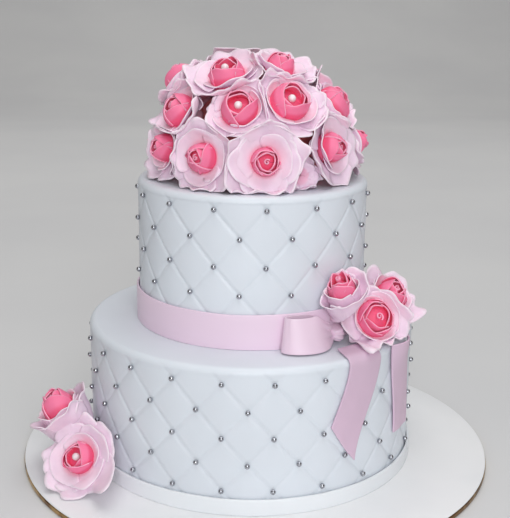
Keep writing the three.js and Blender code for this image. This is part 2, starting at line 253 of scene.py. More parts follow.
def mesh_piece(name, points, faces, uv=None):
    """A mesh from points in millimetres on the cake's axis, with one UV place for each point."""
    mesh = bpy.data.meshes.new(name)
    places = (np.asarray(points, float) + (CAKE_X, 0, 0)) * MM
    mesh.from_pydata(places.tolist(), [], faces)
    if uv is not None:
        corner = np.empty(len(mesh.loops), np.int32)
        mesh.loops.foreach_get("vertex_index", corner)
        mesh.uv_layers.new(name="UVMap").data.foreach_set("uv", np.asarray(uv, np.float32)[corner].ravel())
    mesh.validate()
    piece = bpy.data.objects.new(name, mesh)
    bpy.context.collection.objects.link(piece)
    return piece


def sheets_piece(name, sheets):
    """One mesh from several sheets, each a grid of points with its grid of UV places."""
    points, faces, uv, start = [], [], [], 0
    for grid, places in sheets:
        across, along = grid.shape[:2]
        number = start + np.arange(across * along).reshape(across, along)
        quads = np.stack([number[:-1, :-1], number[1:, :-1], number[1:, 1:], number[:-1, 1:]], -1)
        points.append(grid.reshape(-1, 3))
        uv.append(places.reshape(-1, 2))
        faces.append(quads.reshape(-1, 4))
        start += across * along
    return mesh_piece(name, np.concatenate(points), np.concatenate(faces).tolist(), np.concatenate(uv))


# Materials

def nodes_of(name):
    material = bpy.data.materials.new(name)
    material.use_nodes = True
    tree = material.node_tree
    shader = next(node for node in tree.nodes if node.type == "BSDF_PRINCIPLED")
    return material, tree, shader


def noise(tree, scale, detail=3.0, roughness=0.5):
    texture = tree.nodes.new("ShaderNodeTexNoise")
    texture.inputs["Scale"].default_value = scale
    texture.inputs["Detail"].default_value = detail
    texture.inputs["Roughness"].default_value = roughness
    place = tree.nodes.new("ShaderNodeTexCoord").outputs["Object"]
    tree.links.new(place, texture.inputs["Vector"])
    return texture.outputs["Fac"]


def ramp(tree, value, stops):
    node = tree.nodes.new("ShaderNodeValToRGB")
    node.color_ramp.interpolation = "EASE"
    marks = node.color_ramp.elements
    while len(marks) < len(stops):
        marks.new(0.5)
    for mark, (place, colour) in zip(marks, stops):
        mark.position = place
        mark.color = (*colour, 1)
    tree.links.new(value, node.inputs["Fac"])
    return node.outputs["Color"]


def multiplied(tree, share, first, second):
    """The first colour multiplied by the second, as far as the share says."""
    node = tree.nodes.new("ShaderNodeMix")
    node.data_type = "RGBA"
    node.blend_type = "MULTIPLY"
    node.inputs[0].default_value = share
    tree.links.new(first, node.inputs[6])
    tree.links.new(second, node.inputs[7])
    return node.outputs[2]


def bump(tree, shader, height, strength, distance):
    node = tree.nodes.new("ShaderNodeBump")
    node.inputs["Strength"].default_value = strength
    node.inputs["Distance"].default_value = distance
    tree.links.new(height, node.inputs["Height"])
    tree.links.new(node.outputs["Normal"], shader.inputs["Normal"])


def level(tree, value, low, high):
    node = tree.nodes.new("ShaderNodeMapRange")
    node.inputs["To Min"].default_value = low
    node.inputs["To Max"].default_value = high
    tree.links.new(value, node.inputs["Value"])
    return node.outputs["Result"]


def icing(name, light, shade, cloud, relief, rough, grain=380.0, glow=0.06):
    """Rolled icing: soft clouding of its colour, a fine grain and an uneven sheen."""
    material, tree, shader = nodes_of(name)
    tree.links.new(ramp(tree, noise(tree, cloud), ((0.3, shade), (0.7, light))), shader.inputs["Base Color"])
    tree.links.new(level(tree, noise(tree, cloud * 6), *rough), shader.inputs["Roughness"])
    bump(tree, shader, noise(tree, grain, 4.0, 0.6), 0.35, relief)
    shader.inputs["Subsurface Weight"].default_value = glow
    shader.inputs["Subsurface Radius"].default_value = (0.004, 0.003, 0.003)
    shader.inputs["Subsurface Scale"].default_value = 1.0
    return material


def along_sheet(tree):
    place = tree.nodes.new("ShaderNodeTexCoord").outputs["UV"]
    parts = tree.nodes.new("ShaderNodeSeparateXYZ")
    tree.links.new(place, parts.inputs[0])
    return parts.outputs["Y"]


def petal_sugar(name, stops, mottle=0.12):
    """Sugar paste whose colour runs from a petal's foot to its rim, through the stops it is given, with a painted
    highlight at the rim.
    """
    material, tree, shader = nodes_of(name)
    run = ramp(tree, along_sheet(tree), stops)
    clouds = ramp(tree, noise(tree, 90.0), ((0.25, (0.86, 0.82, 0.88)), (0.7, (1, 1, 1))))
    tree.links.new(multiplied(tree, mottle * 4, run, clouds), shader.inputs["Base Color"])
    tree.links.new(level(tree, noise(tree, 160.0), 0.45, 0.62), shader.inputs["Roughness"])
    bump(tree, shader, noise(tree, 520.0, 4.0, 0.6), 0.3, 0.00010)
    shader.inputs["Subsurface Weight"].default_value = 0.12
    shader.inputs["Subsurface Radius"].default_value = (0.004, 0.0022, 0.0025)
    shader.inputs["Subsurface Scale"].default_value = 1.0
    return material


def metal(name, light, shade, rough, scale=60.0, dent=0.00005):
    """Metal leaf or a metal coat with small changes of tone and dents."""
    material, tree, shader = nodes_of(name)
    shader.inputs["Metallic"].default_value = 1.0
    tree.links.new(ramp(tree, noise(tree, scale), ((0.35, shade), (0.65, light))), shader.inputs["Base Color"])
    tree.links.new(level(tree, noise(tree, scale * 3), *rough), shader.inputs["Roughness"])
    bump(tree, shader, noise(tree, scale * 5), 0.4, dent)
    return material


# The board

def disc(name, radius, bottom, top, rim):
    """A flat disc with a soft rim, its faces split in rings."""
    deselect()
    bpy.ops.mesh.primitive_cylinder_add(
        vertices=192, radius=radius * MM, depth=(top - bottom) * MM, location=(0, 0, (top + bottom) / 2 * MM))
    piece = settle(name)
    modify(piece, "BEVEL", width=rim * MM, segments=3, limit_method="ANGLE", angle_limit=math.radians(40))
    bpy.ops.object.mode_set(mode="EDIT")
    bpy.ops.mesh.select_all(action="DESELECT")
    bpy.ops.object.mode_set(mode="OBJECT")
    for face in piece.data.polygons:
        face.select = len(face.vertices) > 4
    bpy.ops.object.mode_set(mode="EDIT")
    for share in (0.12, 0.3, 0.4):
        bpy.ops.mesh.inset(thickness=share * radius * MM)
    bpy.ops.object.mode_set(mode="OBJECT")
    soften(piece, 40)
    return piece


# The tiers

def quilt_depth(tier, angle, z):
    """How far the quilting is pressed in: thin creases between soft pillows, fading out at the top edge."""
    p = (angle - tier["turn"]) * tier["columns"] / 180
    q = (tier["top_row"] - z) / tier["row_step"]
    falling, rising = (p - q) / 2, (p + q) / 2
    width = tier["radius"] * math.pi / tier["columns"]
    spacing = 2 * width * tier["row_step"] / math.hypot(width, tier["row_step"])
    pillow = (np.sin(math.pi * falling) ** 2 * np.sin(math.pi * rising) ** 2) ** 0.45
    crease = lambda line, size: size * np.exp(-(np.abs(line - np.round(line)) * spacing / CREASE_WIDTH) ** 2)
    depth = PILLOW_DEPTH * (1 - pillow) + np.maximum(crease(falling, FALLING_CREASE), crease(rising, RISING_CREASE))
    return depth * smooth((tier["top"] - 1 - z) / QUILT_FADE)


def quilted_tier(tier):
    """A tier as rings of points, from its foot up its quilted side and in over its top."""
    radius, edge, top, base = (tier[key] for key in ("radius", "edge", "top", "base"))
    half_steps = tier["fineness"]
    angles = tier["turn"] + np.arange(2 * tier["columns"] * half_steps) * 180 / tier["columns"] / half_steps
    step = tier["row_step"] / half_steps
    levels = np.arange(tier["top_row"] - math.floor((tier["top_row"] - base) / step) * step, top - edge, step)
    rings = [around(angles, radius - 1.5, base)]
    for z in levels:
        swell = 0.25 * waves(np.radians(angles) * 3 + z * 0.03, 4)
        rings.append(around(angles, radius - quilt_depth(tier, angles, z) - 0.15 + 0.15 * swell, z))
    for bend in np.linspace(0, math.pi / 2, 9):
        z = top - edge + edge * math.sin(bend)
        rings.append(around(angles, radius - edge + edge * math.cos(bend) - quilt_depth(tier, angles, z), z))
    for inward in (6, 14, 24, 38, 60):
        rings.append(around(angles, radius - edge - inward, top - 0.1))
    count = len(angles)
    points = np.concatenate(rings + [[(0, 0, top - 0.1)], [(0, 0, base)]])
    number = np.arange(len(rings) * count).reshape(len(rings), count)
    after = np.roll(number, -1, 1)
    quads = np.stack([number[:-1], after[:-1], after[1:], number[1:]], -1).reshape(-1, 4)
    faces = quads.tolist()
    faces += [[a, b, len(points) - 2] for a, b in zip(number[-1].tolist(), after[-1].tolist())]
    faces += [[b, a, len(points) - 1] for a, b in zip(number[0].tolist(), after[0].tolist())]
    piece = mesh_piece(tier["name"] + "_quilting", points, faces)
    soften(piece)
    return piece


def tail_at(tail, z, lying=1.0):
    """A tail's middle and half its width, as angles, at a height or where it lies on the tier."""
    hanging = smooth((LOWER["top"] - z) / (LOWER["top"] - tail["end"] + tail["slant"] / 2))
    mix = lambda a, b, t: a + (b - a) * t
    (m0, m1, m2), (h0, h1, h2) = tail["middle"], tail["half"]
    return mix(m0, mix(m1, m2, hanging), lying), mix(h0, mix(h1, h2, hanging), lying)


def ball_places(tier):
    """Every second crossing of each row, apart from those that a tail covers."""
    places = []
    for row in range(tier["rows"]):
        z = tier["top_row"] - row * tier["row_step"]
        for half in range(row % 2, 2 * tier["columns"], 2):
            angle = tier["turn"] + half * 180 / tier["columns"]
            turned = (angle + 180) % 360 - 180
            covered = False
            for tail in TAILS.values():
                middle, width = tail_at(tail, z)
                beside, above = abs(turned - middle) < width, z > tail["end"] - 2 * BALL_RADIUS
                covered |= tier is LOWER and beside and above
            if not covered:
                places.append((angle, z))
    return places


def silver_balls(tier, radius):
    deselect()
    bpy.ops.mesh.primitive_ico_sphere_add(subdivisions=2, radius=radius * MM)
    model = settle("ball_model")
    corner = np.array([v.co[:] for v in model.data.vertices]) / MM
    faces = np.array([p.vertices[:] for p in model.data.polygons])
    bpy.data.objects.remove(model)
    places = [around(angle, tier["radius"] - GROOVE + radius - BALL_SUNK, z) for angle, z in ball_places(tier)]
    points = np.concatenate([corner + place for place in places])
    numbers = np.concatenate([faces + k * len(corner) for k in range(len(places))])
    piece = mesh_piece(tier["name"] + "_balls", points, numbers.tolist())
    soften(piece)
    return piece


# Bands and bow

def band(name, tier, size, seed, slack):
    """A flat strip of icing round a tier's foot, with a soft top edge that isn't quite level."""
    deselect()
    inner = tier["radius"] + GAP
    middle = inner + size["thickness"] / 2
    bpy.ops.mesh.primitive_cylinder_add(
        vertices=256, radius=middle * MM, depth=size["height"] * MM, end_fill_type="NOTHING",
        location=(CAKE_X * MM, 0, (tier["base"] + size["height"] / 2) * MM))
    piece = settle(name)
    edit_whole(bpy.ops.mesh.subdivide, number_cuts=4)
    for vertex in piece.data.vertices:
        x, y, z = vertex.co.x / MM - CAKE_X, vertex.co.y / MM, vertex.co.z / MM
        turned = math.atan2(x, -y)
        high = (z - tier["base"]) / size["height"]
        out = middle + 0.12 * slack * float(waves(np.array(turned * 6 + z * 0.1), seed))
        drop = slack * high * (0.5 + 0.5 * float(waves(np.array(turned * 4), seed + 1)))
        scale = out / math.hypot(x, y)
        vertex.co = ((x * scale + CAKE_X) * MM, y * scale * MM, (z - drop) * MM)
    modify(piece, "SOLIDIFY", thickness=size["thickness"] * 0.86 * MM, offset=0)
    modify(piece, "BEVEL", width=size["thickness"] * 0.3 * MM, segments=3, limit_method="ANGLE",
           angle_limit=math.radians(50))
    soften(piece, 40)
    return piece


def spline(points, shares):
    """Places along a smooth line through the points."""
    points = np.array(points, float)
    padded = np.concatenate([[2 * points[0] - points[1]], points, [2 * points[-1] - points[-2]]])
    at = np.clip(shares, 0, 1) * (len(points) - 1)
    k = np.minimum(at.astype(int), len(points) - 2)
    t = (at - k)[..., None]
    a, b, c, d = (padded[k + i] for i in range(4))
    return 0.5 * (2 * b + (c - a) * t + (2 * a - 5 * b + 4 * c - d) * t ** 2 + (3 * b - a - 3 * c + d) * t ** 3)


def strip(name, place, across, along):
    """A strip of icing from place(u, v), its middle surface, with rounded edges."""
    u, v = spread_over(0, across, along)
    piece = sheets_piece(name, [(place(u, v), np.stack([u, v], -1))])
    modify(piece, "SOLIDIFY", thickness=STRIP_THICK * MM, offset=0)
    modify(piece, "BEVEL", width=STRIP_BEVEL * MM, segments=2, limit_method="ANGLE", angle_limit=math.radians(50))
    soften(piece, 45)
    return piece


def bow_loop():
    """The loop: narrower at its top, and gathered in folds where it runs into the knot."""
    skin = UPPER["radius"] + 2 * GAP + RIBBON["thickness"] + 0.9

    def place(u, v):
        line = spline(LOOP_LINE, v)
        angle, out = line[..., 0], line[..., 1]
        pinch = smooth((np.abs(v - 0.5) - 0.34) / 0.16)
        low, high = GAP + 0.9 + 0.8 * pinch, LOOP_TOP - 9 * pinch
        narrow = np.where(v > 0.5, 0.22, 0.05) * u * (1 - pinch) * (angle - 15)
        gather = 0.9 * pinch * np.sin(u * 19 + v * 6)
        splay = 1.7 * (1 - u) * np.exp(-((v - 0.4) / 0.16) ** 2)
        return around(angle - narrow - splay + 1.2 * pinch, skin + out * (1.3 - 0.62 * u) + gather,
                      UPPER["base"] + low + (high - low) * u)

    return strip("ribbon_loop", place, 30, 100)


def bow_knot():
    """The pinched middle of the bow, with pleats that run into it."""
    deselect()
    bpy.ops.mesh.primitive_cube_add(size=1)
    piece = settle("ribbon_knot")
    edit_whole(bpy.ops.mesh.subdivide, number_cuts=14)
    back = UPPER["radius"] + 2 * GAP + RIBBON["thickness"]
    turned = math.radians(KNOT["angle"])
    for vertex in piece.data.vertices:
        x, y, z = vertex.co
        side = 1 - 0.32 * (0.5 - x)
        round_off = 1 - 0.16 * ((2 * x) ** 2 + (2 * z) ** 2) * (0.5 - y)
        pleat = 0.55 * math.sin(z * 20 + x * 3) * (0.5 - y)
        px = x * KNOT["width"] * round_off
        out = back + (0.5 - y) * (KNOT["depth"] - 1) * round_off + pleat
        pz = KNOT["height"] / 2 + 3 * GAP + z * KNOT["height"] * side * round_off
        vertex.co = Vector((
            (px * math.cos(turned) + out * math.sin(turned) + CAKE_X) * MM,
            (px * math.sin(turned) - out * math.cos(turned)) * MM,
            (UPPER["base"] + pz) * MM))
    modify(piece, "SUBSURF", levels=1, render_levels=1)
    soften(piece)
    return piece


def tail_line(tail, run, share):
    """How far out and how high a tail is at a run along it, share being the place across it."""
    clear = TAIL_CLEAR + TAIL_THICK / 2
    side = LOWER["radius"] + clear
    if tail["reach"] == 0:
        arch = np.sin(math.pi * share)
        return side + tail["flare"] * arch * smooth(1 - run / FLARE_RUN), tail["top"] - run
    bend = LOWER["edge"] + clear
    turn = np.clip((run - tail["reach"]) / bend, 0, math.pi / 2)
    lying = np.maximum(0, tail["reach"] - run)
    down = np.maximum(0, run - tail["reach"] - bend * math.pi / 2)
    out = side - bend * (1 - np.sin(turn)) - lying
    return out, tail["top"] - LOWER["edge"] + bend * np.cos(turn) - down


def bow_tail(name, tail):
    over_edge = tail["reach"] + (LOWER["edge"] + TAIL_CLEAR) * math.pi / 2 - LOWER["edge"] if tail["reach"] else 0

    def place(u, v):
        run = v * (over_edge + tail["top"] - tail["end"] + tail["slant"] * (u - 0.5))
        out, z = tail_line(tail, run, u)
        lying = np.minimum(1, run / tail["reach"]) if tail["reach"] else 1.0
        middle, half = tail_at(tail, z, lying)
        ripple = 0.25 * np.sin(u * 9 + v * 5) * v
        return around(middle + (2 * u - 1) * half, out + ripple, z)

    return strip("ribbon_" + name, place, 16, 70)


# The dome's core

def dome_core():
    """The ball of icing behind the roses, cut flat where it stands, with a roughly smoothed skin."""
    deselect()
    bpy.ops.mesh.primitive_uv_sphere_add(
        segments=96, ring_count=64, radius=DOME_CORE * MM, location=(CAKE_X * MM, 0, DOME_MIDDLE * MM))
    piece = settle("dome_paste")
    edit_whole(bpy.ops.mesh.bisect, plane_co=(0, 0, UPPER["top"] * MM), plane_no=(0, 0, 1), clear_inner=True,
               use_fill=True)
    for vertex in piece.data.vertices:
        x, y, z = vertex.co.x / MM - CAKE_X, vertex.co.y / MM, vertex.co.z / MM
        if z < UPPER["top"] + 0.5:
            continue
        lump = 0.5 * math.sin(x * 0.21 + 1) * math.sin(y * 0.17) * math.sin(z * 0.19 + 2) - 0.5
        out = Vector((x, y, z - DOME_MIDDLE)).normalized() * (DOME_CORE + lump)
        vertex.co = Vector((out.x + CAKE_X, out.y, out.z + DOME_MIDDLE)) * MM
    soften(piece)
    return piece


# Roses

def all_roses():
    """Every rose with its stalk, direction and sizes, and the flat sides that keep it clear of its neighbours."""
    dome = []
    for turn, up, radius, heart, lift in DOME_ROSES:
        out = facing(turn, up)
        dome.append(dict(out=out, radius=radius, heart=heart, depth=DOME_DEPTH + lift,
                         stalk=np.array((0, 0, DOME_MIDDLE)) + out * (DOME_CORE + 2 * GAP)))

    def loose(rows):
        found = []
        for angle, distance, height, turn, up, radius, heart, depth in rows:
            out = facing(turn, up)
            stalk = around(angle, distance, height) - HEART_LEVEL * depth * out
            found.append(dict(out=out, radius=radius, heart=heart, depth=depth, stalk=stalk))
        return found

    groups = (("dome_rose", dome, None, 0, UPPER["top"]),
              ("bow_rose", loose(BOW_ROSES), UPPER, 3.2, LOWER["top"] + TAIL_THICK),
              ("foot_rose", loose(FOOT_ROSES), LOWER, 3.6, BOARD_TOP))
    roses = []
    for prefix, group, tier, clearance, floor in groups:
        for i, rose in enumerate(group):
            rose["name"] = f"{prefix}_{i + 1:02d}"
            rose["seed"] = len(roses) + i
            rose["rank"] = rose["out"][2] + 0.2 * (rose["name"] in FULL_ROSES) if tier is None else -i
        for rose in group:
            rose["sides"] = [(*side_between(rose, other), rose["rank"] > other["rank"])
                             for other in group if other is not rose]
            rose["sides"].append((np.array((0, 0, 1.0)), -(floor + GAP), None))
            rose["sides"].append((np.array((0, 0, -1.0)), DOME_TOP, None))
            if tier:
                away = rose["stalk"] * (1, 1, 0) / np.hypot(*rose["stalk"][:2])
                rose["sides"].append((away, -(tier["radius"] + clearance), None))
        roses += group
    return roses


def side_between(a, b):
    """The flat side between two roses, where their faces would meet, as a normal and a constant."""
    face = lambda rose: rose["stalk"] + FACE_LEVEL * rose["depth"] * rose["out"]
    start, end = face(a), face(b)
    normal = (start - end) / np.linalg.norm(start - end)
    border = start + (end - start) * a["radius"] / (a["radius"] + b["radius"])
    return normal, -normal @ (border + normal * GAP / 2)


def pressed(points, rose, lift, is_heart=False):
    """Petals rise over a lower rose or sink under a higher one, and are pressed up against what they can't pass."""
    out = rose["out"]
    on_bow = rose["name"].startswith("bow")
    for normal, constant, over in rose["sides"]:
        allowed, shift, reach = 0.0, 0.0, 0.5 * PRESS
        if over or (over is False and not is_heart):
            if over:
                allowed, shift = BOW_OVER if on_bow else LAID_OVER, RISE_OVER
            else:
                allowed, shift = (-BOW_OVER, BOW_SINK) if on_bow else (TUCKED_UNDER, SINK_UNDER)
            reach = PRESS
        away = points @ normal + constant
        points = points + shift * smooth((SHIFT_START - away) / SHIFT_RUN)[..., None] * out
        away = points @ normal + constant + allowed
        kept = np.where(away < reach, reach * np.exp(np.minimum((away - reach) / reach, 0)), away)
        if over is None and normal[2] > 0.99:
            wave = 1 + np.sin(points @ WAVE_PACE + rose["seed"])
            kept = kept + FLOOR_WAVE * wave * smooth((kept - away) / WAVE_RUN)
        points = points + (kept - away)[..., None] * normal
        rise = (0 if over is False or normal[2] < -0.99 else lift) * np.minimum(kept - away, LIFT_LIMIT)
        points = points + rise[..., None] * (out - normal * (out @ normal))
    return points


def turned_about(x, y, z, turn):
    """Points turned about a rose's own axis."""
    return np.stack([x * np.cos(turn) - y * np.sin(turn), x * np.sin(turn) + y * np.cos(turn), z], -1)


def broad_petal(draw, line, turn, half, ruffle, curl, tint, tip):
    """A pale petal as a grid of points in millimetres, its rose facing +Z, from its foot to its rim."""
    u, v = spread_over(-1, 28, 17)
    # Its reach: rounded corners, one soft point, a slow wave and a fine crimp
    at = draw.uniform(-0.4, 0.4)
    reach = draw.uniform(1.0, 1.12) - draw.uniform(0.1, 0.2) * np.abs(u) ** draw.uniform(2.8, 4.4)
    reach += draw.uniform(0.0, 0.07) * np.exp(-((u - at) / 0.25) ** 2)
    reach += 0.03 * np.sin(u * draw.uniform(4, 7) + draw.uniform(0, 6)) + tip * np.exp(-(u / 0.34) ** 2)
    crimp = np.sin(10 * u + 3 * turn) * (0.6 + 0.4 * np.sin(3 * u + 5 * turn))
    reach += RIM_REACH * crimp
    w = v * reach
    radius, z = np.moveaxis(bezier(line, w), -1, 0)
    # Its height: it waves and curls back more and more towards its rim
    rim = smooth((v - 0.45) / 0.55)
    edge = smooth((v - 0.82) / 0.18) + 0.6 * smooth((np.abs(u) - 0.8) / 0.2) * rim
    swell = np.sin(u * draw.uniform(1.8, 3.0) + draw.uniform(0, 6))
    swell = swell + 0.55 * np.sin(u * draw.uniform(5, 8) + draw.uniform(0, 6)) * rim
    stand = draw.uniform(-0.8, 1.2)
    bend = curl * (0.45 + 0.55 * np.sin(u * draw.uniform(2, 4) + draw.uniform(0, 6)))
    z = z + ruffle * rim * swell - bend * edge + 0.8 * u * smooth(2 * v) + stand * v * v
    z = z + RIM_CURL * ruffle * smooth((v - 0.7) / 0.3) * crimp
    radius = radius + 0.6 * u * (0.3 + 0.7 * v) + 0.3 * ruffle * rim * np.sin(u * 4 + draw.uniform(0, 6))
    angle = half * u * (0.72 + 0.28 * np.sin(math.pi * np.minimum(w, 1) * 0.8))
    low, high = tint
    return (turned_about(radius * np.cos(angle), radius * np.sin(angle), z, turn),
            np.stack([(u + 1) / 2, low + (high - low) * v], -1))


def petal_layers(rose):
    """Pale layers from the heart outwards: line of a petal, number, ruffle, curl, tint and how unequal they are."""
    r, h, d = rose["radius"] * SPREAD.get(rose["name"], 1), rose["heart"], rose["depth"]
    if rose["name"] in CUPS:
        inner = ((0.4 * h, 0.2 * d), (1.5 * h, 0.2 * d), (1.15 * h, 0.56 * d), (1.3 * h, 0.72 * d))
        outer = ((0.22 * r, 0.02 * d), (0.98 * r, 0.06 * d), (0.8 * r, 0.5 * d), (1.08 * r, 0.7 * d))
        return (inner, 3, 0.8, 0.8, (0.2, 1), 0.04), (outer, 4, 1.5, 1.6, (0.4, 1), 0.06)
    near, middle = h + 0.5 * (r - h), h + 0.76 * (r - h)
    inner = ((0.5 * h, 0.3 * d), (1.1 * h, 0.62 * d), (1.35 * h, 0.56 * d), (near, 0.7 * d))
    between = ((0.5 * h, 0.25 * d), (1.1 * h, 0.58 * d), (1.4 * h, 0.5 * d), (middle, 0.67 * d))
    outer = ((0.3 * r, 0.03 * d), (0.42 * r, 0.66 * d), (0.6 * r, 0.44 * d), (r, 0.65 * d))
    layers = [(inner, 3, 1.3, 1.0, (0.1, 1), 0.16)]
    if rose["name"] in FULL_ROSES:
        layers.append((between, 4, 1.0, 1.1, (0.25, 1), 0.05))
    layers.append((outer, OUTER_PETALS, 2.1, 1.7, (0.3, 1), 0.04))
    return layers


def rim_share(v):
    """How close a place along a petal of the heart is to its rim."""
    return smooth((v - 0.6) / 0.4)


def wrapped_petal(draw, h, d, turn, chord, bow, top, lift):
    """A heart's petal: it rises from its foot, wraps over the bud and ends in a slanting rim across its top."""
    u, v = spread_over(-1, 26, 14)
    along = v ** 1.5
    spread, bow = draw.uniform(1.3, 1.5), bow + draw.uniform(-0.08, 0.08)
    half_rim = math.sqrt(1 - chord ** 2)
    # Seen along the rose's axis, it goes from an arc at its foot to a nearly straight rim
    x = (1 - along) * np.cos(spread * u) + along * (chord + bow * (u * u - 0.3))
    y = (1 - along) * np.sin(spread * u) + along * half_rim * u * 0.96
    out = np.hypot(x, y)
    dome = (1 - np.minimum(out, 1) ** 4.2) ** 0.6
    flare = draw.uniform(0.97, 1.04) * (1 + draw.uniform(0.02, 0.16) * np.abs(u) ** 3 * v + 0.04 * u)
    flare += 0.035 * rim_share(v) * np.sin(u * draw.uniform(4, 7) + draw.uniform(0, 6))
    rim = rim_share(v)
    z = d * (0.42 + (top - 0.42) * dome) + lift * rim * (1 - 0.75 * u * u) + 0.45 * u
    z = z + 0.6 * rim * np.sin(u * draw.uniform(3, 6) + draw.uniform(0, 6))
    flare = flare * (0.84 + 0.18 * dome)
    return turned_about(h * flare * x, h * flare * y, z, turn), np.stack([(u + 1) / 2, v], -1)


def heart_plan(kind):
    """A heart's rings: size, height, how its rims curve and how far out they are. Then its filling's height."""
    if kind == "open":
        return ((1.0, 0.93, -0.3, (0.36, 0.46, 0.56)), (0.8, 0.91, -0.4, (0.52, 0.62, 0.5))), 0.72
    if kind == "rolled":
        return ((1.0, 0.88, -0.42, (0.62, 0.68, 0.58, 0.66)), (0.76, 0.91, -0.4, (0.5, 0.6, 0.54))), 0.78
    return ((1.0, 0.9, -0.14, (0.08, 0.4, 0.46)), (0.72, 0.93, -0.25, (0.34, 0.46, 0.4))), 0.82


def filling(h, d, top):
    """The paste between the petals of a heart, coloured in the painted shade of the heart's depth."""
    u, v = spread_over(0, 25, 7)
    z = d * (0.42 + (top - 0.42) * (1 - v ** 2.2))
    out = 0.93 * h * v + 0.01
    return turned_about(out, 0 * out, z, 2 * math.pi * u), np.stack([u, 0.3 + 0.2 * v], -1)


def bud(rose, draw, size, turns, top):
    """The rolled strip in the middle of a closed heart."""
    u, v = spread_over(0, 44, 7)
    h, d = rose["heart"], rose["depth"]
    angle = u * 2 * math.pi * turns + draw.uniform(0, 6)
    radius = h * size * (1 - 0.84 * u) * (1 - 0.12 * v)
    z = d * (0.5 + (top - 0.5) * v) + 0.35 * np.sin(angle * 1.5) * v + 0.03 * d * u * v
    return turned_about(radius, 0 * radius, z, angle), np.stack([u, 0.4 + 0.6 * v], -1)


def rose_sheets(rose, kind):
    """The pale petals of a rose and the petals of its heart, each a list of sheets."""
    draw = np.random.default_rng(100 + rose["seed"])
    axes = np.array(Vector((0, 0, 1)).rotation_difference(Vector(rose["out"])).to_matrix())

    def placed(sheet, lift=0.3):
        points, uv = sheet
        return pressed(points @ axes.T + rose["stalk"], rose, lift, lift == 0), uv

    petals, heart = [], []
    start = draw.uniform(0, 2 * math.pi)
    tip_turn, tip_reach = TIPS.get(rose["name"], (None, 0))
    for line, count, ruffle, curl, tint, unequal in petal_layers(rose):
        start += draw.uniform(0.5, 1.0)
        tipped = tip_turn is not None and count == OUTER_PETALS
        if tipped:
            start = math.radians(tip_turn)
        for k in range(count):
            turn = start + 2 * math.pi * (k + draw.uniform(-0.07, 0.07)) / count
            half = math.pi / count * draw.uniform(1.34, 1.52)
            larger = draw.uniform(-unequal, unequal)
            foot, low, (bend, bend_up), (end, end_up) = line
            end_up = end_up - 0.4 * larger * rose["depth"]
            own = (foot, low, (bend * (1 + larger), bend_up), (end * (1 + larger), end_up))
            tip = tip_reach if tipped and k == 0 else 0
            petals.append(placed(broad_petal(draw, own, turn, half, ruffle, curl, tint, tip)))
    if rose["name"] not in NO_HEART:
        h, d = rose["heart"] * HEART_SWELL, rose["depth"] * HEART_RISE * SUNK_HEARTS.get(rose["name"], 1)
        rings, inside = heart_plan(kind)
        for size, top, bow, chords in rings:
            start += draw.uniform(0.7, 1.1)
            for k, chord in enumerate(chords):
                turn = start + 2 * math.pi * (k + draw.uniform(-0.05, 0.05)) / len(chords)
                lift = draw.uniform(0.05, 0.085) * d + (0.6 if chord < 0.1 else 0)
                heart.append(placed(wrapped_petal(draw, h * size, d, turn, chord, bow, top, lift), 0))
        heart.append(placed(filling(h, d, inside), 0))
        if kind != "open":
            heart.append(placed(bud(rose, draw, 0.3, 1.4, 0.95), 0))
    return petals, heart


def sugar_sheets(name, sheets, thickness):
    piece = sheets_piece(name, sheets)
    modify(piece, "SOLIDIFY", thickness=thickness * MM, offset=-1, use_even_offset=False)
    soften(piece)
    return piece


def pearl(rose, radius):
    deselect()
    middle = rose["stalk"] + rose["out"] * rose["depth"] * 0.83 + (CAKE_X, 0, 0)
    bpy.ops.mesh.primitive_ico_sphere_add(subdivisions=3, radius=radius * MM, location=tuple(middle * MM))
    piece = settle(rose["name"] + "_pearl")
    for vertex in piece.data.vertices:
        away = vertex.co / MM - Vector(middle)
        dent = 0.1 * math.sin(away.x * 1.7 + rose["seed"]) * math.sin(away.y * 1.9 + away.z)
        vertex.co = (Vector(middle) + away * (1 + dent / radius)) * MM
    soften(piece)
    return piece


def grow_roses(wanted):
    """Makes the roses whose names start as wanted, and their materials if they aren't there yet."""
    size = bpy.context.scene.cake_roses
    # Pale petals run from their blush at the foot to a painted highlight at the rim
    pale = bpy.data.materials.get("pale_petal_sugar") or petal_sugar("pale_petal_sugar", (
        (0.15, size.blush_colour), (0.36, size.blush_colour), (0.6, size.petal_colour), (0.95, size.petal_colour),
        (1.0, size.rim_highlight_colour)))
    # Hearts run from painted shade at their feet to a painted highlight at their rims
    hot = bpy.data.materials.get("heart_sugar") or petal_sugar("heart_sugar", (
        (0.1, size.depth_shade_colour), (0.35, size.depth_shade_colour), (0.6, size.heart_colour), (0.93, size.heart_colour),
        (1.0, size.heart_rim_highlight_colour)), mottle=0.06)
    white = bpy.data.materials.get("pearl_sugar") or icing(
        "pearl_sugar", srgb(250, 240, 242), srgb(240, 220, 228), cloud=200.0, grain=900.0, relief=0.00005,
        rough=(0.2, 0.35))
    for rose in all_roses():
        if not rose["name"].startswith(wanted):
            continue
        opened = rose["name"] in OPEN_HEARTS
        kind = "open" if opened else "rolled" if rose["name"] in ROLLED_HEARTS else "bud"
        petals, heart = rose_sheets(rose, kind)
        outside = sugar_sheets(rose["name"] + "_petals", petals, size.petal_thickness)
        dress(outside, pale, [rose["name"]])
        if heart:
            inside = sugar_sheets(rose["name"] + "_heart", heart, size.petal_thickness * 1.3)
            dress(inside, hot, [rose["name"]])
        if opened:
            dress(pearl(rose, size.pearl_radius), white, [rose["name"]])


# What a user would change

TINT = dict(subtype="COLOR", min=0, max=1)


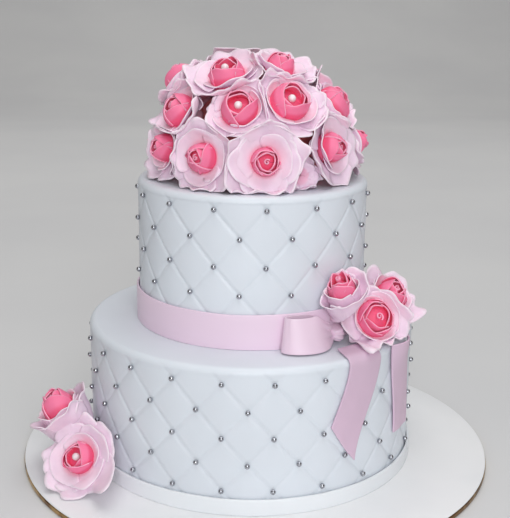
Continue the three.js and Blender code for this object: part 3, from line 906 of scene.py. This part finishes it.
class CakeIcing(bpy.types.PropertyGroup):
    white: bpy.props.FloatVectorProperty(
        name="White icing", description="Colour of the rolled icing", default=srgb(227, 232, 239), **TINT)
    ball_radius: bpy.props.FloatProperty(
        name="Ball radius (mm)", description="Half the width of a silver ball", default=BALL_RADIUS, min=1,
        max=4)


class CakeRibbon(bpy.types.PropertyGroup):
    pink: bpy.props.FloatVectorProperty(
        name="Ribbon pink", description="Colour of the ribbon and bow", default=srgb(248, 222, 240), **TINT)


class CakeRoses(bpy.types.PropertyGroup):
    petal_thickness: bpy.props.FloatProperty(
        name="Petal thickness (mm)", description="Thickness of the rolled sugar paste", default=0.7, min=0.3, max=2)
    pearl_radius: bpy.props.FloatProperty(
        name="Pearl radius (mm)", description="Half the width of a sugar pearl", default=3.0, min=1, max=5)
    petal_colour: bpy.props.FloatVectorProperty(
        name="Petal", description="Pale outer petals", default=srgb(249, 221, 238), **TINT)
    # Painted highlight: the paler colour at the very rim of each outer petal stands in for light on its curled edge
    rim_highlight_colour: bpy.props.FloatVectorProperty(
        name="Petal rim", description="Rims of the outer petals", default=srgb(253, 234, 244), **TINT)
    blush_colour: bpy.props.FloatVectorProperty(
        name="Blush", description="Feet of the outer petals", default=srgb(251, 196, 217), **TINT)
    heart_colour: bpy.props.FloatVectorProperty(
        name="Heart", description="Petals of the heart", default=srgb(254, 126, 164), **TINT)
    # Painted highlight: the paler pink on the rims of the heart's petals stands in for light on their edges
    heart_rim_highlight_colour: bpy.props.FloatVectorProperty(
        name="Heart rim", description="Rims of the heart's petals", default=srgb(255, 176, 202), **TINT)
    # Painted shade: the darker pink at the feet of the heart's petals and in its filling stands in for the shade
    # deep in the heart
    depth_shade_colour: bpy.props.FloatVectorProperty(
        name="Heart's depth", description="Feet of the heart's petals", default=srgb(246, 92, 132), **TINT)


class CakeStage(bpy.types.PropertyGroup):
    key_power: bpy.props.FloatProperty(
        name="Key light", description="Power of the large front light", default=17.7, min=0, unit="POWER")
    top_power: bpy.props.FloatProperty(
        name="Top light", description="Power of the soft light overhead", default=12.3, min=0, unit="POWER")
    backdrop_power: bpy.props.FloatProperty(
        name="Backdrop light", description="Power of the light on the backdrop", default=34, min=0, unit="POWER")
    room_light: bpy.props.FloatProperty(
        name="Room light", description="Strength of the light from all round", default=0.246, min=0)


# One button for each piece

class CakeBoard(bpy.types.Operator):
    """White round board with a gold edge"""
    bl_idname = "cake.board"
    bl_label = "Board"

    def execute(self, context):
        gold = metal("gold_edge", srgb(214, 178, 120), srgb(120, 84, 46), (0.22, 0.4))
        cover = icing("board_icing", srgb(247, 247, 248), srgb(239, 240, 242), cloud=9.0, grain=300.0,
                      relief=0.00008, rough=(0.3, 0.42), glow=0.0)
        edge = disc("board_edge", BOARD_RADIUS, 0, BOARD_CORE, 0.5)
        dress(edge, gold, ["board_core"])
        sheet = disc("board_sheet", BOARD_RADIUS - 0.4, BOARD_CORE, BOARD_TOP, 0.6)
        dress(sheet, cover, ["board_cover"])
        return {"FINISHED"}


class CakeTiers(bpy.types.Operator):
    """Two tiers of quilted white icing"""
    bl_idname = "cake.tiers"
    bl_label = "Tiers"

    def execute(self, context):
        white = context.scene.cake_icing.white
        shade = tuple(0.95 * v for v in white)
        quilt = icing("quilted_icing", tuple(white), shade, cloud=12.0, relief=0.00010,
                      rough=(0.38, 0.52))
        for tier in (LOWER, UPPER):
            dress(quilted_tier(tier), quilt, [tier["name"]])
        return {"FINISHED"}


class CakeBalls(bpy.types.Operator):
    """A silver sugar ball at each crossing of the quilting"""
    bl_idname = "cake.balls"
    bl_label = "Silver balls"

    def execute(self, context):
        silver = metal("silver_coat", srgb(196, 197, 202), srgb(150, 151, 158), (0.12, 0.22), scale=900.0,
                       dent=0.00002)
        for tier in (LOWER, UPPER):
            balls = silver_balls(tier, context.scene.cake_icing.ball_radius)
            dress(balls, silver, [tier["name"]])
        return {"FINISHED"}


class CakeBands(bpy.types.Operator):
    """White band round the lower tier and pink ribbon round the upper one"""
    bl_idname = "cake.bands"
    bl_label = "Bands"

    def execute(self, context):
        white = context.scene.cake_icing.white
        pink = context.scene.cake_ribbon.pink
        # Painted light: the band's white is lifted halfway to pure white, standing in for the stronger light at the
        # cake's foot
        lightened_white = tuple(0.5 + 0.5 * v for v in white)
        plain = icing("band_icing", lightened_white, tuple(0.96 * v for v in lightened_white), cloud=10.0,
                      relief=0.00008, rough=(0.34, 0.46))
        satin = icing("ribbon_icing", tuple(pink), tuple(0.93 * v for v in pink), cloud=9.0,
                      relief=0.00006, rough=(0.34, 0.44))
        dress(band("foot_strip", LOWER, FOOT_BAND, 11, 0.5), plain, ["foot_band"])
        dress(band("ribbon_strip", UPPER, RIBBON, 23, 0.5), satin, ["ribbon_band"])
        return {"FINISHED"}


class CakeBow(bpy.types.Operator):
    """The bow's loop, pinched middle and two tails"""
    bl_idname = "cake.bow"
    bl_label = "Bow"

    def execute(self, context):
        pink = context.scene.cake_ribbon.pink
        # The bow's pink is darkened by its painted shade
        satin = icing("bow_icing", shaded(pink, BOW_PAINTED_SHADE), shaded(pink, BOW_PAINTED_SHADE, 0.92), cloud=16.0,
                      relief=0.00006, rough=(0.32, 0.44))
        dress(bow_loop(), satin, ["bow_loop"])
        dress(bow_knot(), satin, ["bow_knot"])
        # The tails' pink is darker still: painted shade where they hang down the tier's side
        shaded_tail_satin = icing("tail_icing", shaded(pink, TAIL_PAINTED_SHADE), shaded(pink, TAIL_PAINTED_SHADE, 0.92), cloud=16.0,
                     relief=0.00006, rough=(0.36, 0.48))
        for name, tail in TAILS.items():
            dress(bow_tail(name, tail), shaded_tail_satin, [name])
        return {"FINISHED"}


class CakeDome(bpy.types.Operator):
    """The core on the upper tier and the roses that cover it"""
    bl_idname = "cake.dome"
    bl_label = "Rose dome"

    def execute(self, context):
        # Painted light: the core's pink is lightened so the deep shaded gaps between the roses show brighter
        lightened_core_pink = icing("core_paste", srgb(252, 148, 152), srgb(236, 106, 112), cloud=40.0, grain=300.0,
                      relief=0.0003, rough=(0.55, 0.75))
        dress(dome_core(), lightened_core_pink, ["dome_core"])
        grow_roses(("dome_rose",))
        return {"FINISHED"}


class CakeLooseRoses(bpy.types.Operator):
    """Three roses on the bow and two on the board"""
    bl_idname = "cake.loose_roses"
    bl_label = "Roses on the bow and board"

    def execute(self, context):
        grow_roses(("bow_rose", "foot_rose"))
        return {"FINISHED"}


class CakeStageSet(bpy.types.Operator):
    """Pale floor, soft lights and camera"""
    bl_idname = "cake.stage"
    bl_label = "Stage"

    def execute(self, context):
        size = context.scene.cake_stage
        deselect()
        bpy.ops.mesh.primitive_grid_add(x_subdivisions=2, y_subdivisions=160, size=30, location=(0, 8, -0.0003))
        floor = settle("floor")
        for vertex in floor.data.vertices:
            beyond = vertex.co.y - SWEEP_START
            if beyond > 0:
                bend = min(beyond / SWEEP_RADIUS, math.pi / 2)
                vertex.co.y = SWEEP_START + SWEEP_RADIUS * math.sin(bend)
                vertex.co.z += SWEEP_RADIUS * (1 - math.cos(bend)) + max(0, beyond - SWEEP_RADIUS * math.pi / 2)
        soften(floor)
        paint = icing("floor_paint", srgb(222, 222, 222), srgb(216, 216, 217), cloud=2.0, grain=60.0,
                      relief=0.0001, rough=(0.7, 0.8), glow=0.0)
        floor.data.materials.append(paint)
        floor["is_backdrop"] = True
        for name, place, aim, width, power, colour in (
            ("front_light", (0.15, -1.8, 0.8), (0, 0, 0.16), 0.9, size.key_power, (0.94, 0.97, 1.0)),
            ("top_light", (0.1, -0.25, 1.7), (0, 0, 0.1), 1.4, size.top_power, (1.0, 1.0, 1.0)),
            ("backdrop_light", (0, 1.4, 2.6), (0, 4.2, 0.3), 2.2, size.backdrop_power, (1.0, 1.0, 1.0)),
        ):
            light = bpy.data.lights.new(name, "AREA")
            light.size, light.energy, light.color = width, power, colour
            lamp = bpy.data.objects.new(name, light)
            lamp.location = place
            lamp.rotation_euler = (Vector(aim) - Vector(place)).to_track_quat("-Z", "Y").to_euler()
            context.collection.objects.link(lamp)
        world = bpy.data.worlds.new("studio")
        world.use_nodes = True
        background = world.node_tree.nodes["Background"]
        background.inputs["Color"].default_value = (1.0, 0.98, 0.95, 1)
        background.inputs["Strength"].default_value = size.room_light
        context.scene.world = world
        context.scene.view_settings.view_transform = "Standard"
        set_camera()
        return {"FINISHED"}


def set_camera():
    """The camera at the photograph's place and angle."""
    down, turn, roll = (math.radians(angle) for angle in (CAMERA_DOWN, CAMERA_TURN, CAMERA_ROLL))
    turned = Matrix.Rotation(turn, 3, "Z")
    forward = turned @ Vector((0, math.cos(down), -math.sin(down)))
    upward = turned @ Vector((0, math.sin(down), math.cos(down)))
    right = turned @ Vector((1, 0, 0))
    right, upward = (math.cos(roll) * right + math.sin(roll) * upward,
                     math.cos(roll) * upward - math.sin(roll) * right)
    lens = bpy.data.cameras.new("camera")
    lens.sensor_fit = "VERTICAL"
    lens.sensor_height = SENSOR_HEIGHT
    lens.lens = LENS_LENGTH
    camera = bpy.data.objects.new("camera", lens)
    camera.matrix_world = Matrix((right, upward, -forward)).transposed().to_4x4()
    camera.location = CAMERA_PLACE
    bpy.context.collection.objects.link(camera)
    bpy.context.scene.camera = camera


PIECES = (CakeBoard, CakeTiers, CakeBalls, CakeBands, CakeBow, CakeDome, CakeLooseRoses, CakeStageSet)
SETTINGS = dict(cake_icing=CakeIcing, cake_ribbon=CakeRibbon, cake_roses=CakeRoses, cake_stage=CakeStage)


class CakePanel(bpy.types.Panel):
    bl_idname = "VIEW3D_PT_cake"
    bl_label = "Rose cake"
    bl_space_type = "VIEW_3D"
    bl_region_type = "UI"
    bl_category = "Cake"

    def draw(self, context):
        for piece in PIECES:
            self.layout.operator(piece.bl_idname)
        for name, group in SETTINGS.items():
            for key in group.__annotations__:
                self.layout.prop(getattr(context.scene, name), key)


def register():
    for group in SETTINGS.values():
        bpy.utils.register_class(group)
    for name, group in SETTINGS.items():
        setattr(bpy.types.Scene, name, bpy.props.PointerProperty(type=group))
    for piece in (*PIECES, CakePanel):
        bpy.utils.register_class(piece)


def unregister():
    for piece in (CakePanel, *reversed(PIECES)):
        bpy.utils.unregister_class(piece)
    for name, group in SETTINGS.items():
        delattr(bpy.types.Scene, name)
        bpy.utils.unregister_class(group)


def main():
    register()
    for piece in PIECES:
        group, name = piece.bl_idname.split(".")
        getattr(getattr(bpy.ops, group), name)()
    box = [[list(corner) for corner in pair] for pair in (SOLID_BOX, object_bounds())]
    dict(solid=box[0], visual=box[1])


if __name__ == "__main__":
    main()
